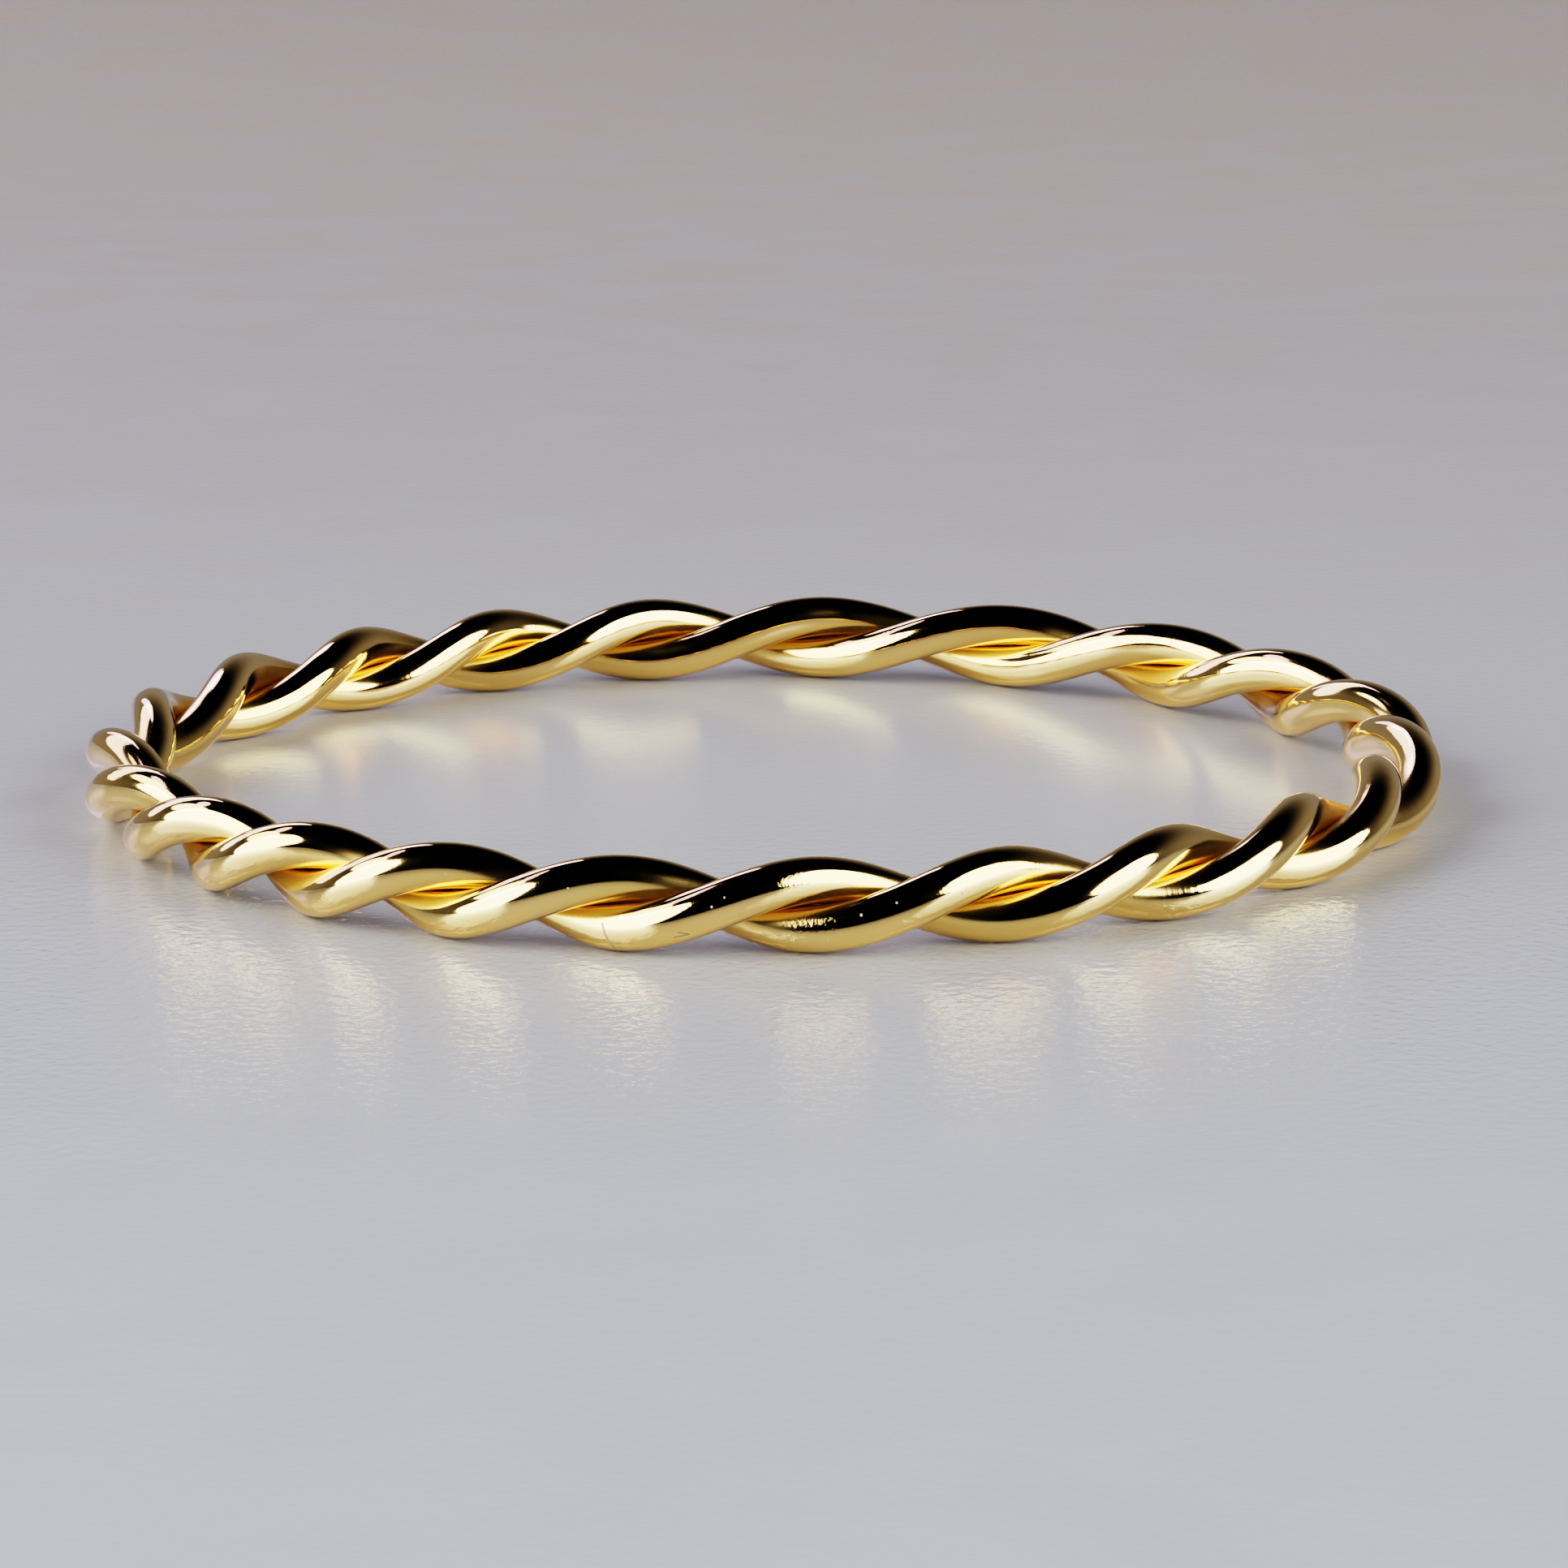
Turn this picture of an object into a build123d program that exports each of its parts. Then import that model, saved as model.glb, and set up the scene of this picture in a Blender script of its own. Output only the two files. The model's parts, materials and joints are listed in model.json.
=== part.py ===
from build123d import *
from math import cos, pi, radians, sin, sqrt
import os

# A finger ring made of two round gold wires, twisted round each other like a rope and bent to a hoop.
# Each wire's two ends are soldered to each other, so each wire is one closed loop and one solid.
# The ring lies on its side: the hoop's axis is +Z, its underside touches z = 0, and its front is at -Y.
# Ring angles run anticlockwise, seen from above, from 0 at the front. The solder seams are at the back.
# On the near side the wires climb to the right, as in a left-hand screw.

# Driving sizes, in millimetres.
FINGER_HOLE = 17.35  # inner diameter, ring size 7
WIRE = 0.64  # diameter of each wire
WIRE_GAP = 0.01  # clearance between the two wires
FULL_TWISTS = 11  # times that each wire goes round the other on its way round the hoop
PHASE_SHIFT = 5.5  # degrees that the whole twist is turned, which sets where the wires cross

# The hand-made twist is uneven. Each row is one wave of tighter and looser twist round the hoop:
# how many times it repeats, its share of the mean twist, and the ring angle of its tightest place.
TWIST_SWAY = (
    # waves, share, tightest at (degrees)
    (1, 0.0825, -40.6),
    (2, 0.0364, -32.4),
    (3, 0.0595, -36.7),
    (4, 0.0599, 31.5),
)

WIRE_RADIUS = WIRE / 2
WIRE_OFFSET = (WIRE + WIRE_GAP) / 2  # from the rope's middle line to the middle of each wire
ROPE_HALF = WIRE_OFFSET + WIRE_RADIUS
HOOP_RADIUS = FINGER_HOLE / 2 + ROPE_HALF  # of the rope's middle line

# Each wire's middle line is a chain of tangent arcs, two from each station to the next.
STATIONS_PER_TWIST = 8
STATIONS = STATIONS_PER_TWIST * FULL_TWISTS
SPANS = 2  # each wire is swept in this many lengths, which then join face to face
SEAM_ANGLE = pi  # ring angle of the solder seams
SLOPE_STEP = 1e-4  # radians to each side, for the direction of the middle line


def twist_phase(angle):
    """How far the first wire has turned round the rope's middle line, from outermost, at a ring angle."""
    sway = sum(share * sin(waves * (angle - radians(peak))) / waves for waves, share, peak in TWIST_SWAY)
    return radians(PHASE_SHIFT) + FULL_TWISTS * (angle + sway)


def wire_point(angle, start_phase):
    """A point on a wire's middle line."""
    phase = twist_phase(angle) + start_phase
    reach = HOOP_RADIUS + WIRE_OFFSET * cos(phase)
    return Vector(reach * sin(angle), -reach * cos(angle), ROPE_HALF + WIRE_OFFSET * sin(phase))


def wire_heading(angle, start_phase):
    """The direction in which the middle line runs there."""
    ahead = wire_point(angle + SLOPE_STEP, start_phase)
    behind = wire_point(angle - SLOPE_STEP, start_phase)
    return (ahead - behind).normalized()


def tangent_arcs(start, start_heading, end, end_heading):
    """Two arcs from start to end that keep both headings and meet smoothly midway."""
    run = end - start
    bend = 1 - start_heading.dot(end_heading)
    along = run.dot(start_heading + end_heading)
    reach = (sqrt(along**2 + 2 * bend * run.length**2) - along) / (2 * bend)
    before = start + start_heading * reach
    after = end - end_heading * reach
    meeting = (before + after) / 2
    first = TangentArc(start, meeting, tangent=start_heading)
    second = TangentArc(meeting, end, tangent=after - before)
    return [first.edge(), second.edge()]


def middle_line(first_station, last_station, start_phase):
    """The tangent arcs of a wire's middle line, from one station to another."""
    angles = [
        SEAM_ANGLE + 2 * pi * station / STATIONS
        for station in range(first_station, last_station + 1)
    ]
    points = [wire_point(angle, start_phase) for angle in angles]
    headings = [wire_heading(angle, start_phase) for angle in angles]
    arcs = []
    for here in range(len(angles) - 1):
        arcs += tangent_arcs(points[here], headings[here], points[here + 1], headings[here + 1])
    return Wire(arcs)


def twisted_wire(start_phase):
    """A whole wire: lengths swept from the seam round to the seam again, and joined. Its length too."""
    cuts = [STATIONS * span // SPANS for span in range(SPANS + 1)]
    lengths = []
    total = 0
    for span in range(SPANS):
        path = middle_line(cuts[span], cuts[span + 1], start_phase)
        section = Plane(origin=path @ 0, z_dir=path % 0) * Circle(WIRE_RADIUS)
        lengths.append(sweep(section, path=path))
        total += path.length
    return lengths[0].fuse(*lengths[1:]).solid(), total


os.makedirs("parts", exist_ok=True)
for name, start_phase in (("wire_strand_a", 0), ("wire_strand_b", pi)):
    wire, wire_length = twisted_wire(start_phase)
    wire.label = name
    section_volume = pi * WIRE_RADIUS**2 * wire_length
    print(f"{name}: length {wire_length:.2f}, volume {wire.volume:.3f}, section x length {section_volume:.3f}")
    export_step(wire, f"parts/{name}.step")
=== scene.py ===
import json
from math import cos, pi, radians, sin, tan

import bpy
from bpy.props import FloatProperty, FloatVectorProperty, IntProperty, PointerProperty
from mathutils import Matrix, Quaternion, Vector


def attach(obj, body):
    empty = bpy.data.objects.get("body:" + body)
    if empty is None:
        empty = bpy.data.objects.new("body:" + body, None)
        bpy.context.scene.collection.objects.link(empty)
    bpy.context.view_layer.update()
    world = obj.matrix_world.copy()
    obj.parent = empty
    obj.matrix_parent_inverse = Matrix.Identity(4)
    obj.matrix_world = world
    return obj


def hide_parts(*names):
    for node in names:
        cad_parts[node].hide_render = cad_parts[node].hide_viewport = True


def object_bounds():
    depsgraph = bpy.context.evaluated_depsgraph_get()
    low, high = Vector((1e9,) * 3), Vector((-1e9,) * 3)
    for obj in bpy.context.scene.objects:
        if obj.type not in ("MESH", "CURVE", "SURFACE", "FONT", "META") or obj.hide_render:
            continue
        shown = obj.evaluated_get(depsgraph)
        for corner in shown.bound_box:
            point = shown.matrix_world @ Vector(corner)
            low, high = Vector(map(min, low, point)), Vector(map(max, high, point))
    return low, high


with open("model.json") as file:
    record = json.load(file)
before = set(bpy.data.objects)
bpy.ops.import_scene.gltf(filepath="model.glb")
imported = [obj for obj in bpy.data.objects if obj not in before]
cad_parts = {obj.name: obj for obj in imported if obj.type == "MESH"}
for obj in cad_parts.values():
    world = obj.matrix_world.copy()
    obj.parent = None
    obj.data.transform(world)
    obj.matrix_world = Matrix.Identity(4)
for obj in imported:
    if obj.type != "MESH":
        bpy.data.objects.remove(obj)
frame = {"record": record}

bl_info = {
    "name": "Rope twist ring",
    "version": (1, 0, 0),
    "blender": (4, 5, 0),
    "location": "3D View > Sidebar > Rope ring",
    "description": "Twists two gold wires into a finger ring and sets it on a pale table under soft light",
    "category": "Add Mesh",
}

# Sizes are in metres where no other unit is named, in the CAD model's frame: the ring lies on z = 0, its
# hoop's axis is Z and its front is at -Y. Ring angles run anticlockwise, seen from above, and the front is 0.
MM = 0.001
PER_MM = 1 / MM
MICROMETRE = 0.001 * MM
CAD_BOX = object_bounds()
HOLE_RADIUS = next(m for m in frame["record"]["mounts"] if m["name"] == "finger_hole")["dims"]["r_mm"] * MM
RING_HEIGHT = CAD_BOX[1].z
MIDDLE = Vector((0, 0, RING_HEIGHT / 2))
HOOP_RADIUS = HOLE_RADIUS + RING_HEIGHT / 2  # of the rope's middle line

# The uneven twist, as in the CAD model: each row is one wave of tighter and looser twist round the hoop.
TWIST_SWAY = (
    # waves, share of the mean twist, tightest at (degrees)
    (1, 0.0825, -40.6),
    (2, 0.0364, -32.4),
    (3, 0.0595, -36.7),
    (4, 0.0599, 31.5),
)

# How finely the wires are modelled.
CIRCLE_POINTS = 4  # of the Bezier circle that a wire starts as
POINTS_PER_TWIST = 16
STEPS_PER_POINT = 4
BEVEL_STEPS = 30
SLOPE_STEP = 1e-4  # radians to each side, for the direction of a middle line
WIRE_LENGTH_MM = 62.75  # only patterns along the wire rest on it

# The gold's relief: how many waves a millimetre across the wire and along it, and how high in micrometres.
DRAW_LINES = (22, 0.5, 0.6)
CROSS_RIPPLES = (2, 17, 1.2)
GRAIN = (24, 24, 3.0)
WAVINESS = (1.1, 1.1, 6.0)

SEAM_FILED = 0.8  # millimetres to each side of the solder seam that are filed smooth

# Scattered patches, made from noise. A scale is how many there are a millimetre. A kind of patch begins at
# the first value of the noise and is whole from the second, where it is as strong as the third says.
RELIEF_PATCH_SCALE = 0.9
GRAINY_PATCHES = (0.55, 0.72, 0.5)
RIPPLED_PATCHES = (0.52, 0.36, 1.0)
WARM_PATCH_SCALE = 0.6
WARM_PATCHES = (0.35, 0.65, 1.0)
CLOUD_SCALE = 1.7
CLOUD_DETAIL = 4
CLOUD_ROUGHNESS = (0.4, 0.75, 0.05)

# How much rougher the gold is in its grooves, and on hairs and dust.
GROOVE_ROUGHNESS = 0.12
SPOT_ROUGHNESS = 0.6

# Where the front of the ring is plainly grainy, or has ripples across the wire, as seen from the front, in
# millimetres.
GRAINY_PLACES = (
    # x, z, radius
    (0.62, 0.51, 0.50),
    (0.42, 0.98, 0.35),
)
RIPPLED_PLACES = (
    # x, z, radius
    (3.35, 1.10, 0.55),
    (5.50, 0.39, 0.65),
    (-2.60, 0.45, 0.35),
)

# How far from the rope's middle line the painted shade in the grooves begins, and is whole, in millimetres.
# It makes the gold darker and redder where the wires meet.
GROOVE_EDGE = 0.46
GROOVE_FLOOR = 0.26

# Marks on the front of the ring, as seen from there, in millimetres: dark hairs and single specks of dust.
DARK_HAIRS = (
    # half width, darkness, points (x, z)
    (0.020, 0.55, ((-2.14, 0.42), (-2.11, 0.30), (-2.04, 0.16))),
    (0.030, 0.50, ((-2.04, 0.16), (-1.98, 0.09), (-1.93, 0.03))),
    (0.012, 0.80, ((-1.18, 0.33), (-0.98, 0.38), (-1.13, 0.41))),
)
DUST_SPECKS = (
    # x, z, radius
    (-0.51, 0.89, 0.016),
    (-0.68, 0.77, 0.020),
    (-2.59, 0.93, 0.016),
    (1.77, 0.77, 0.018),
    (1.30, 0.61, 0.022),
)
FAR_AWAY = 100  # millimetres, where none of these marks reaches

# The rest of the dust: cells a millimetre, the share of them that are empty, and how far from its cell's
# middle a speck ends and is whole, in cells.
DUST_CELLS = 2.2
EMPTY_CELLS = 0.62
SPECK_EDGE = 0.045
SPECK_MIDDLE = 0.03

# The table: its size, the depths (y) in millimetres between which painted shade makes its colour warmer and
# darker further back, and its faint clouds, given as the gold's patches are.
TABLE_SIZE = 4
TABLE_TO_BACK = (-30, 50)
BACK_TO_FAR = (20, 130)
MOTTLE_SCALE = 0.35
MOTTLE_DETAIL = 3
MOTTLE = (0.3, 0.7, 0.35)
TABLE_BODY_ROUGHNESS = 0.8  # under its gloss
TABLE_GLOSS_IOR = 1.9

# The table's fine grain: its waves a millimetre, its height in micrometres, and the depths in millimetres
# where it is strongest.
TABLE_GRAIN_SCALE = 5.0
TABLE_GRAIN_DETAIL = 3
TABLE_GRAIN = 26
SMOOTHER_TABLE = 0.2  # share of that height elsewhere
GRAINY_DEPTH = (-24, -14, -8, 2)  # begins, strongest from, strongest to, ends
GRAINY_ROUGHNESS = 0.12  # of the table's reflections there

# The room's soft lights, which are ellipses round the ring. Azimuth 0 is towards the camera, and 90 to the
# right. All angles are in degrees, as seen from the ring, and a tilt turns the light clockwise.
LIGHT_DISTANCE = 0.4
SOFT_LIGHTS = (
    # name, azimuth, elevation, half width, half height, tilt, brightness, colour
    ("left_window", -68, 22, 27, 29, 0, 6.5, (1.0, 1.0, 1.0)),
    ("left_window_top", -100, 42, 25, 11, 0, 4.0, (1.0, 1.0, 1.0)),
    ("left_back_window", -140, 28, 30, 9, -28, 3.4, (0.70, 0.64, 1.0)),
    ("left_back_edge", -162, 31, 5, 16, 15, 3.8, (0.58, 0.49, 1.0)),
    ("left_back_top", -122, 55, 20, 4, 0, 3.8, (0.58, 0.49, 1.0)),
    ("right_window", 65, 22, 29, 27, 0, 6.5, (1.0, 1.0, 1.0)),
)

# The dim room behind the ring, and how it darkens: with elevation, in degrees, and towards the camera, by the
# y of a direction of length 1.
WALL_COLOUR = (0.205, 0.195, 0.20)
DARK_ABOVE = 48
BRIGHTEST_BELOW = 8
DARK_BEFORE = -0.3
BRIGHTEST_BEHIND = 0.7

# The camera, from the photograph: about ten centimetres away with a long lens, a little above the table. The
# picture's size and the place of the ring's middle in it are in pixels, and the angles in radians.
PHOTO_SIZE = 1932
SENSOR_MM = 36
PX_PER_RADIUS = 783.4  # pixels of the photograph per radius of the hoop's middle line
DISTANCE_IN_RADII = 10.645
CAMERA_ELEVATION = 0.2110
CAMERA_ROLL = -0.0056
CENTRE_PX = (939.2, 934.8)
CLIP_START = 0.005
CLIP_END = 20


def twist_phase(angle, wires):
    """How far the first wire has turned round the rope's middle line, from outermost, at a ring angle."""
    sway = sum(share * sin(waves * (angle - radians(peak))) / waves for waves, share, peak in TWIST_SWAY)
    return wires.phase_shift + wires.full_twists * (angle + sway)


def wire_point(angle, start_phase, wires):
    """A point on a wire's middle line."""
    offset = (wires.thickness + wires.gap) / 2
    phase = twist_phase(angle, wires) + start_phase
    reach = HOOP_RADIUS + offset * cos(phase)
    return Vector((reach * sin(angle), -reach * cos(angle), MIDDLE.z + offset * sin(phase)))


def wire_slope(angle, start_phase, wires):
    """How fast the middle line moves there, in metres a radian."""
    ahead = wire_point(angle + SLOPE_STEP, start_phase, wires)
    behind = wire_point(angle - SLOPE_STEP, start_phase, wires)
    return (ahead - behind) / (2 * SLOPE_STEP)


def node(material, kind, inputs=None, **settings):
    """Add a shader node, give it its settings, and fill or link its inputs."""
    tree = material.node_tree
    made = tree.nodes.new("ShaderNode" + kind)
    for setting, value in settings.items():
        setattr(made, setting, value)
    for socket, value in (inputs or {}).items():
        if isinstance(value, bpy.types.NodeSocket):
            tree.links.new(value, made.inputs[socket])
        else:
            made.inputs[socket].default_value = value
    return made


def math(material, operation, first, second=0.0):
    """A Math node's result."""
    return node(material, "Math", {0: first, 1: second}, operation=operation).outputs[0]


def vector_math(material, operation, first, second):
    """A Vector Math node's vector."""
    return node(material, "VectorMath", {0: first, 1: second}, operation=operation).outputs["Vector"]


def ramp(material, value, low, high, top=1.0):
    """0 at low and top at high, smooth between and level beyond. Low may be above high."""
    return node(material, "MapRange", {"Value": value, "From Min": low, "From Max": high, "To Max": top},
                interpolation_type="SMOOTHSTEP").outputs["Result"]


def noise(material, place, scale=1.0, detail=2.0):
    """Noise from 0 to 1."""
    return node(material, "TexNoise", {"Vector": place, "Scale": scale, "Detail": detail}).outputs["Fac"]


def blend(material, share, first, second):
    """The first colour where share is 0, and the second where it is 1."""
    mix = node(material, "Mix", {"Factor": share}, data_type="RGBA")
    for socket, colour in ((6, first), (7, second)):
        if isinstance(colour, bpy.types.NodeSocket):
            material.node_tree.links.new(colour, mix.inputs[socket])
        else:
            mix.inputs[socket].default_value = (*colour, 1)
    return mix.outputs[2]


def place_in_mm(material):
    """The place on the object, in millimetres."""
    place = node(material, "TexCoord").outputs["Object"]
    return vector_math(material, "MULTIPLY", place, (PER_MM, PER_MM, PER_MM))


def wire_place_in_mm(material, wire_radius):
    """The place on a wire as if it were straight along Z, in millimetres."""
    uv = node(material, "SeparateXYZ", {0: node(material, "UVMap").outputs["UV"]})
    turn = math(material, "MULTIPLY", uv.outputs["Y"], 2 * pi)
    across = [
        math(material, "MULTIPLY", math(material, shape, turn), wire_radius * PER_MM)
        for shape in ("COSINE", "SINE")
    ]
    along = math(material, "MULTIPLY", uv.outputs["X"], WIRE_LENGTH_MM)
    return node(material, "CombineXYZ", {"X": across[0], "Y": across[1], "Z": along}).outputs["Vector"]


def outside_rope_middle(material, place):
    """Level distance in millimetres outside the rope's middle line, and below 0 inside it."""
    flat = vector_math(material, "MULTIPLY", place, (1, 1, 0))
    reach = node(material, "VectorMath", {0: flat}, operation="LENGTH").outputs["Value"]
    return math(material, "SUBTRACT", reach, HOOP_RADIUS * PER_MM)


def from_rope_middle(material, place, outside):
    """Distance in millimetres from the rope's middle line, which is a circle."""
    height = node(material, "SeparateXYZ", {0: place}).outputs["Z"]
    above = math(material, "SUBTRACT", height, MIDDLE.z * PER_MM)
    squares = math(material, "ADD", math(material, "POWER", outside, 2), math(material, "POWER", above, 2))
    return math(material, "SQRT", squares)


def waves(material, place, relief):
    """Noise stretched along the wire or across it, in micrometres of height."""
    across, along, height = relief
    stretched = vector_math(material, "MULTIPLY", place, (across, across, along))
    return math(material, "MULTIPLY", noise(material, stretched), height)


def near_place(material, seen, x, z, radius):
    """1 round a place on the front, fading to 0 at a radius from it."""
    distance = node(material, "VectorMath", {0: seen, 1: (x, 0, z)}, operation="DISTANCE").outputs["Value"]
    return ramp(material, distance, radius, radius / 2)


def gold_relief(material, wire_place, front):
    """The gold's fine relief, in micrometres: draw lines, patches of grain and cross ripples, and waviness.

    It fades out at the filed solder seam, where the pattern along the wire ends.
    """
    patches = noise(material, wire_place, RELIEF_PATCH_SCALE)
    grainy = ramp(material, patches, *GRAINY_PATCHES)
    for grainy_place in GRAINY_PLACES:
        grainy = math(material, "MAXIMUM", grainy, near_place(material, front, *grainy_place))
    rippled = ramp(material, patches, *RIPPLED_PATCHES)
    for rippled_place in RIPPLED_PLACES:
        rippled = math(material, "MAXIMUM", rippled, near_place(material, front, *rippled_place))
    grain = math(material, "MULTIPLY", waves(material, wire_place, GRAIN), grainy)
    ripples = math(material, "MULTIPLY", waves(material, wire_place, CROSS_RIPPLES), rippled)
    lines = waves(material, wire_place, DRAW_LINES)
    smooth = math(material, "ADD", lines, waves(material, wire_place, WAVINESS))
    height = math(material, "ADD", smooth, math(material, "ADD", grain, ripples))
    along = node(material, "SeparateXYZ", {0: wire_place}).outputs["Z"]
    from_seam = math(material, "MINIMUM", along, math(material, "SUBTRACT", WIRE_LENGTH_MM, along))
    return math(material, "MULTIPLY", height, ramp(material, from_seam, 0.0, SEAM_FILED))


def near_line(material, place, start, end, half_width):
    """1 along the middle of a line, fading to 0 at half its width to each side."""
    run = Vector(end) - Vector(start)
    per_run = run / run.length_squared
    from_start = vector_math(material, "SUBTRACT", place, start)
    share = node(material, "VectorMath", {0: from_start, 1: per_run}, operation="DOT_PRODUCT")
    held = node(material, "Clamp", {"Value": share.outputs["Value"]}).outputs["Result"]
    along = node(material, "VectorMath", {0: run, "Scale": held}, operation="SCALE").outputs["Vector"]
    off = vector_math(material, "SUBTRACT", from_start, along)
    distance = node(material, "VectorMath", {0: off}, operation="LENGTH").outputs["Value"]
    return ramp(material, distance, half_width, half_width / 2)


def seen_from_front(material, place, outside):
    """The place as seen from the front, in millimetres, sent far away at the back and inside the hoop."""
    depth = node(material, "SeparateXYZ", {0: place}).outputs["Y"]
    behind = math(material, "GREATER_THAN", depth, 0.0)
    inside = math(material, "LESS_THAN", outside, 0.0)
    away = math(material, "MULTIPLY", math(material, "MAXIMUM", behind, inside), FAR_AWAY)
    away = node(material, "CombineXYZ", {"Y": away}).outputs["Vector"]
    return vector_math(material, "ADD", vector_math(material, "MULTIPLY", place, (1, 0, 1)), away)


def dark_hairs(material, front):
    """How dark the fine hairs on the front of the ring make it, from 0 to 1."""
    marks = 0.0
    for half_width, darkness, points in DARK_HAIRS:
        for (x0, z0), (x1, z1) in zip(points, points[1:]):
            mark = near_line(material, front, (x0, 0, z0), (x1, 0, z1), half_width)
            marks = math(material, "MAXIMUM", marks, math(material, "MULTIPLY", mark, darkness))
    return marks


def dust(material, place, front):
    """1 on a few scattered specks of dust, and on those on the front of the ring."""
    cells = node(material, "TexVoronoi", {"Vector": place, "Scale": DUST_CELLS})
    chance = node(material, "SeparateXYZ", {0: cells.outputs["Color"]}).outputs["X"]
    specks = ramp(material, cells.outputs["Distance"], SPECK_EDGE, SPECK_MIDDLE)
    specks = math(material, "MULTIPLY", specks, math(material, "GREATER_THAN", chance, EMPTY_CELLS))
    for speck in DUST_SPECKS:
        specks = math(material, "MAXIMUM", specks, near_place(material, front, *speck))
    return specks


def polished_gold(wires, look):
    """Polished gold with the fine marks of drawing, twisting and wear, and painted shade, darker and redder,
    in its rougher grooves.
    """
    material = bpy.data.materials.new("polished_gold")
    material.use_nodes = True
    place = place_in_mm(material)
    wire_place = wire_place_in_mm(material, wires.thickness / 2)
    outside = outside_rope_middle(material, place)
    groove_painted_shade = ramp(material, from_rope_middle(material, place, outside), GROOVE_EDGE, GROOVE_FLOOR)
    front = seen_from_front(material, place, outside)
    hairs = dark_hairs(material, front)
    specks = dust(material, place, front)

    tone = ramp(material, noise(material, place, WARM_PATCH_SCALE), *WARM_PATCHES)
    colour = blend(material, tone, look.gold, look.gold_warm)
    # Painted shade: the gold is darker and redder in the grooves where the wires meet.
    colour = blend(material, groove_painted_shade, colour, look.groove_painted_shade)
    colour = blend(material, specks, colour, look.dust)
    colour = blend(material, hairs, colour, look.hair)

    clouded = ramp(material, noise(material, place, CLOUD_SCALE, CLOUD_DETAIL), *CLOUD_ROUGHNESS)
    dull = math(material, "MULTIPLY", groove_painted_shade, GROOVE_ROUGHNESS)
    spots = math(material, "MAXIMUM", specks, hairs)
    roughness = math(material, "ADD", math(material, "ADD", clouded, dull), look.gold_roughness)
    roughness = math(material, "ADD", roughness, math(material, "MULTIPLY", spots, SPOT_ROUGHNESS))

    height = gold_relief(material, wire_place, front)
    bump = node(material, "Bump", {"Distance": MICROMETRE, "Height": height})

    shader = material.node_tree.nodes["Principled BSDF"]
    links = material.node_tree.links
    links.new(colour, shader.inputs["Base Color"])
    links.new(math(material, "SUBTRACT", 1.0, spots), shader.inputs["Metallic"])
    links.new(roughness, shader.inputs["Roughness"])
    links.new(bump.outputs["Normal"], shader.inputs["Normal"])
    return material


def pale_table(look):
    """The pale, slightly glossy table, with painted shade that makes it warmer and darker further back, and a
    fine grain.
    """
    material = bpy.data.materials.new("pale_table")
    material.use_nodes = True
    place = place_in_mm(material)
    depth = node(material, "SeparateXYZ", {0: place}).outputs["Y"]
    # Painted shade: the table's colour turns warmer and darker further back, where less light falls.
    colour = blend(material, ramp(material, depth, *TABLE_TO_BACK), look.table, look.table_back_painted_shade)
    colour = blend(material, ramp(material, depth, *BACK_TO_FAR), colour, look.table_far_painted_shade)
    mottle = ramp(material, noise(material, place, MOTTLE_SCALE, MOTTLE_DETAIL), *MOTTLE)
    colour = blend(material, mottle, colour, look.table_mottle)
    begins, strong_from, strong_to, ends = GRAINY_DEPTH
    strength = math(material, "MULTIPLY", ramp(material, depth, begins, strong_from),
                    ramp(material, depth, ends, strong_to))
    strength = math(material, "MAXIMUM", strength, SMOOTHER_TABLE)
    grain = noise(material, place, TABLE_GRAIN_SCALE, TABLE_GRAIN_DETAIL)
    grain = math(material, "MULTIPLY", math(material, "MULTIPLY", grain, TABLE_GRAIN), strength)
    roughness = ramp(material, strength, 1.0, SMOOTHER_TABLE, top=look.table_roughness - GRAINY_ROUGHNESS)
    roughness = math(material, "ADD", roughness, GRAINY_ROUGHNESS)
    bump = node(material, "Bump", {"Distance": MICROMETRE, "Height": grain}).outputs["Normal"]
    body = material.node_tree.nodes["Principled BSDF"]
    body.inputs["Roughness"].default_value = TABLE_BODY_ROUGHNESS
    body.inputs["Specular IOR Level"].default_value = 0
    gloss = node(material, "BsdfGlossy", {"Color": (*look.table_gloss, 1), "Roughness": roughness,
                                          "Normal": bump})
    share = node(material, "Fresnel", {"IOR": TABLE_GLOSS_IOR, "Normal": bump}).outputs["Fac"]
    both = node(material, "MixShader", {0: share, 1: body.outputs["BSDF"], 2: gloss.outputs["BSDF"]})
    links = material.node_tree.links
    links.new(colour, body.inputs["Base Color"])
    links.new(both.outputs[0], material.node_tree.nodes["Material Output"].inputs["Surface"])
    return material


class WireSettings(bpy.types.PropertyGroup):
    thickness: FloatProperty(name="Wire thickness", description="Diameter of each wire",
                             default=0.6437 * MM, unit="LENGTH", precision=5)
    gap: FloatProperty(name="Gap", description="Clearance between the two wires",
                       default=0.001 * MM, unit="LENGTH", precision=6)
    full_twists: IntProperty(name="Full twists", description="Times that each wire goes round the other",
                             default=11)
    phase_shift: FloatProperty(name="Phase shift", description="Turn of the whole twist",
                               default=radians(5.5), unit="ROTATION")


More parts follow.
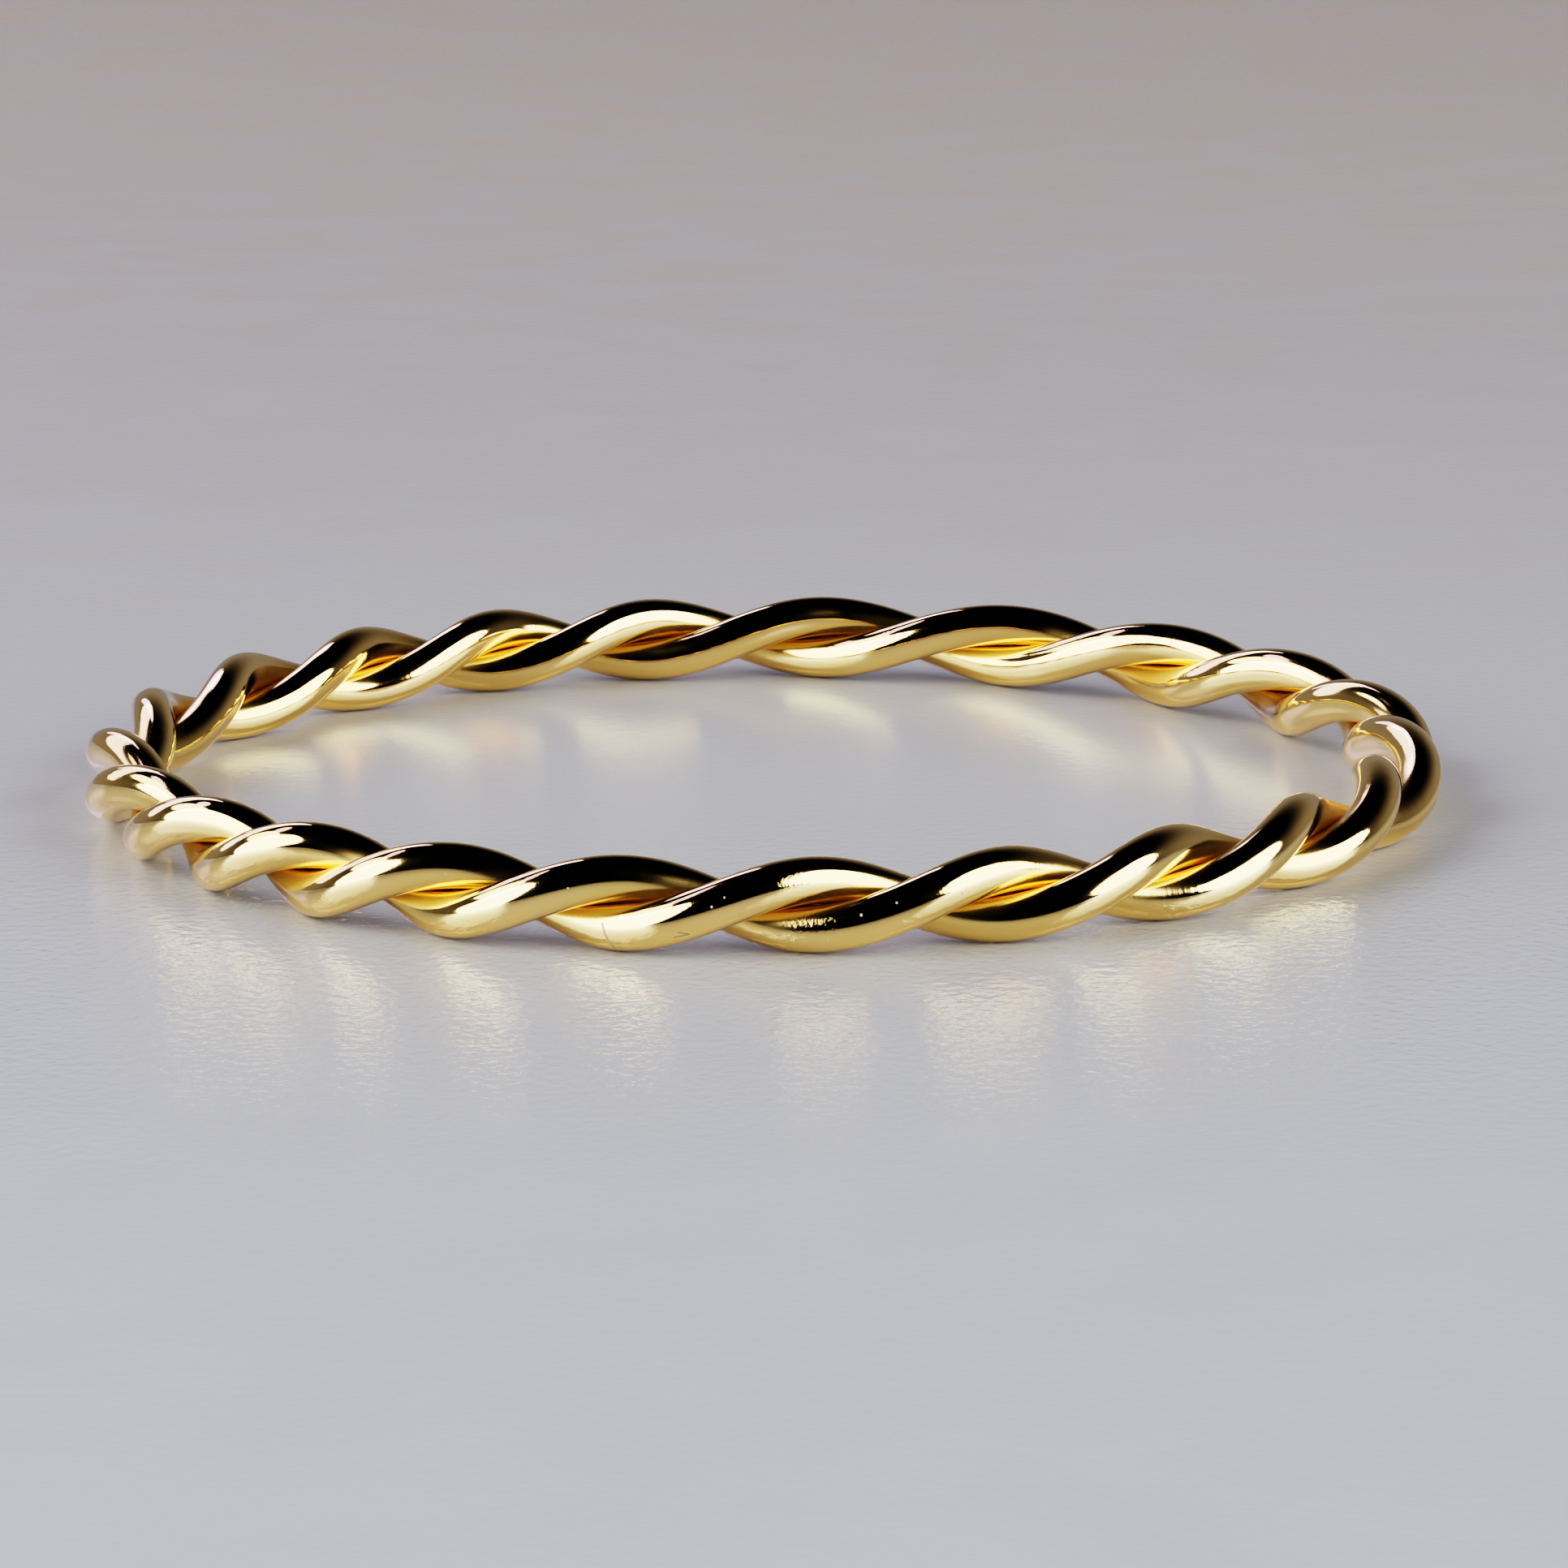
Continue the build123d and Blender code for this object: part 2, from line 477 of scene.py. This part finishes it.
class LookSettings(bpy.types.PropertyGroup):
    gold: FloatVectorProperty(name="Gold", description="Colour of the polished gold",
                              default=(1.0, 0.68, 0.26), subtype="COLOR")
    gold_warm: FloatVectorProperty(name="Warm gold", description="Colour of its warmer patches",
                                   default=(0.99, 0.65, 0.22), subtype="COLOR")
    # Colour of the painted shade in the grooves where the wires meet, darker and redder than the gold.
    groove_painted_shade: FloatVectorProperty(name="Groove", description="Colour of the stain where the wires meet",
                                default=(0.92, 0.60, 0.19), subtype="COLOR")
    dust: FloatVectorProperty(name="Dust", description="Colour of the specks of dust",
                              default=(0.5, 0.46, 0.42), subtype="COLOR")
    hair: FloatVectorProperty(name="Hair", description="Colour of the fine dark hairs",
                              default=(0.05, 0.055, 0.04), subtype="COLOR")
    gold_roughness: FloatProperty(name="Gold roughness", description="How soft the gold's reflections are",
                                  default=0.05, subtype="FACTOR")
    table: FloatVectorProperty(name="Table", description="Colour of the table",
                               default=(0.485, 0.497, 0.515), subtype="COLOR")
    # Painted shade: the table's colour behind the ring, warmer and darker than at the front.
    table_back_painted_shade: FloatVectorProperty(name="Table behind", description="Colour of the table behind the ring",
                                    default=(0.43, 0.395, 0.362), subtype="COLOR")
    # Painted shade: the table's colour furthest back, warmer and darker than at the front.
    table_far_painted_shade: FloatVectorProperty(name="Far table", description="Colour of the table furthest back",
                                   default=(0.56, 0.42, 0.27), subtype="COLOR")
    table_mottle: FloatVectorProperty(name="Table mottle", description="Colour of its faint clouds",
                                      default=(0.45, 0.455, 0.46), subtype="COLOR")
    table_gloss: FloatVectorProperty(name="Table gloss", description="Colour of the table's reflections",
                                     default=(0.70, 0.80, 1.0), subtype="COLOR")
    table_roughness: FloatProperty(name="Table roughness", description="How soft the table's reflections are",
                                   default=0.2, subtype="FACTOR")


def twisted_wire(name, start_phase, wires):
    """A round wire along its twisted middle line, closed to a hoop. Its UV map starts at the back."""
    bpy.ops.object.select_all(action="DESELECT")
    bpy.ops.curve.primitive_bezier_circle_add(radius=HOOP_RADIUS, enter_editmode=True)
    bpy.ops.curve.select_all(action="SELECT")
    bpy.ops.curve.subdivide(number_cuts=wires.full_twists * POINTS_PER_TWIST // CIRCLE_POINTS - 1)
    bpy.ops.curve.handle_type_set(type="FREE_ALIGN")
    bpy.ops.object.mode_set(mode="OBJECT")
    wire = bpy.context.object
    wire.name = name
    points = wire.data.splines[0].bezier_points
    step = 2 * pi / len(points)
    for number, point in enumerate(points):
        angle = number * step - pi
        place = wire_point(angle, start_phase, wires)
        handle = wire_slope(angle, start_phase, wires) * step / 3  # a third of the way to the next point
        point.co = place
        point.handle_left = place - handle
        point.handle_right = place + handle
    wire.data.resolution_u = STEPS_PER_POINT
    wire.data.bevel_depth = wires.thickness / 2
    wire.data.bevel_resolution = BEVEL_STEPS
    bpy.ops.object.convert(target="MESH")
    bpy.ops.object.shade_smooth()
    return bpy.context.object


class ROPERING_OT_twist_wires(bpy.types.Operator):
    """Make the two wires, twisted round each other and closed to a hoop"""
    bl_idname = "rope_ring.twist_wires"
    bl_label = "Twist wires"

    def execute(self, context):
        wires = context.scene.ring_wires
        gold = polished_gold(wires, context.scene.ring_look)
        for letter, start_phase in (("a", 0), ("b", pi)):
            wire = twisted_wire(f"gold_wire_{letter}", start_phase, wires)
            wire.data.materials.clear()
            wire.data.materials.append(gold)
            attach(wire, "root")
            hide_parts(f"wire_strand_{letter}")
        return {"FINISHED"}


def direction(azimuth, elevation):
    """The way from the ring at an azimuth and elevation, in radians."""
    level = cos(elevation)
    return Vector((sin(azimuth) * level, -cos(azimuth) * level, sin(elevation)))


def lay_table(look):
    """Lay the table under the ring."""
    bpy.ops.object.select_all(action="DESELECT")
    bpy.ops.mesh.primitive_plane_add(size=TABLE_SIZE)
    table = bpy.context.object
    table.name = "table"
    table.data.materials.append(pale_table(look))


def hang_light(name, azimuth, elevation, half_width, half_height, tilt, brightness, colour):
    """Hang an elliptical light that fills a range of azimuths and elevations, as seen from the ring."""
    outward = direction(azimuth, elevation)
    turn = outward.to_track_quat("Z", "Y") @ Quaternion((0, 0, 1), tilt)
    bpy.ops.object.light_add(type="AREA", location=outward * LIGHT_DISTANCE, rotation=turn.to_euler())
    light = bpy.context.object
    light.name = name
    light.data.shape = "ELLIPSE"
    light.data.size = 2 * LIGHT_DISTANCE * tan(half_width) * cos(elevation)
    light.data.size_y = 2 * LIGHT_DISTANCE * tan(half_height)
    # The power is pi times the brightness times the ellipse's area.
    light.data.energy = brightness * pi * (pi / 4) * light.data.size * light.data.size_y
    light.data.color = colour


def dim_room(scene):
    """The room behind the ring: dim near the table, and dark above and towards the camera."""
    room = bpy.data.worlds.new("room")
    room.use_nodes = True
    scene.world = room
    way = node(room, "SeparateXYZ", {0: node(room, "TexCoord").outputs["Generated"]})
    low = ramp(room, way.outputs["Z"], sin(radians(DARK_ABOVE)), sin(radians(BRIGHTEST_BELOW)))
    behind = ramp(room, way.outputs["Y"], DARK_BEFORE, BRIGHTEST_BEHIND)
    shader = room.node_tree.nodes["Background"]
    shader.inputs["Color"].default_value = (*WALL_COLOUR, 1)
    room.node_tree.links.new(math(room, "MULTIPLY", low, behind), shader.inputs["Strength"])


def set_camera(scene):
    """Set the photograph's camera, with the ring's middle where the photograph has it."""
    focal_px = PX_PER_RADIUS * DISTANCE_IN_RADII
    place = MIDDLE + DISTANCE_IN_RADII * HOOP_RADIUS * direction(0, CAMERA_ELEVATION)
    forward = (MIDDLE - place).normalized()
    right = Vector((1, 0, 0))
    level = Matrix((right, right.cross(forward), forward))
    roll = Matrix.Rotation(-CAMERA_ROLL, 3, "Z")
    off = ((px - PHOTO_SIZE / 2) / focal_px for px in CENTRE_PX)
    aim = Vector((next(off), -next(off), 1)).normalized()
    shift = Vector((0, 0, 1)).rotation_difference(aim).to_matrix()
    rows = shift @ roll @ level
    turn = Matrix((rows[0], rows[1], -rows[2])).transposed()
    bpy.ops.object.camera_add(location=place, rotation=turn.to_euler())
    camera = bpy.context.object
    camera.name = "camera"
    camera.data.sensor_width = SENSOR_MM
    camera.data.lens = SENSOR_MM * focal_px / PHOTO_SIZE
    camera.data.clip_start = CLIP_START
    camera.data.clip_end = CLIP_END
    scene.camera = camera


class ROPERING_OT_set_stage(bpy.types.Operator):
    """Set the table, the room's light and the camera"""
    bl_idname = "rope_ring.set_stage"
    bl_label = "Set stage"

    def execute(self, context):
        lay_table(context.scene.ring_look)
        for name, *angles, brightness, colour in SOFT_LIGHTS:
            hang_light(name, *(radians(angle) for angle in angles), brightness, colour)
        dim_room(context.scene)
        set_camera(context.scene)
        context.scene.view_settings.view_transform = "Filmic"
        context.scene.view_settings.look = "High Contrast"
        return {"FINISHED"}


class ROPERING_PT_steps(bpy.types.Panel):
    """The ring's settings and steps"""
    bl_idname = "ROPERING_PT_steps"
    bl_label = "Rope ring"
    bl_space_type = "VIEW_3D"
    bl_region_type = "UI"
    bl_category = "Rope ring"

    def draw(self, context):
        for settings in (context.scene.ring_wires, context.scene.ring_look):
            for setting in settings.__annotations__:
                self.layout.prop(settings, setting)
        self.layout.operator("rope_ring.twist_wires")
        self.layout.operator("rope_ring.set_stage")


CLASSES = (WireSettings, LookSettings, ROPERING_OT_twist_wires, ROPERING_OT_set_stage, ROPERING_PT_steps)


def register():
    for cls in CLASSES:
        bpy.utils.register_class(cls)
    bpy.types.Scene.ring_wires = PointerProperty(type=WireSettings)
    bpy.types.Scene.ring_look = PointerProperty(type=LookSettings)


def unregister():
    del bpy.types.Scene.ring_wires
    del bpy.types.Scene.ring_look
    for cls in reversed(CLASSES):
        bpy.utils.unregister_class(cls)


def main():
    register()
    bpy.ops.rope_ring.twist_wires()
    bpy.ops.rope_ring.set_stage()


if __name__ == "__main__":
    main()
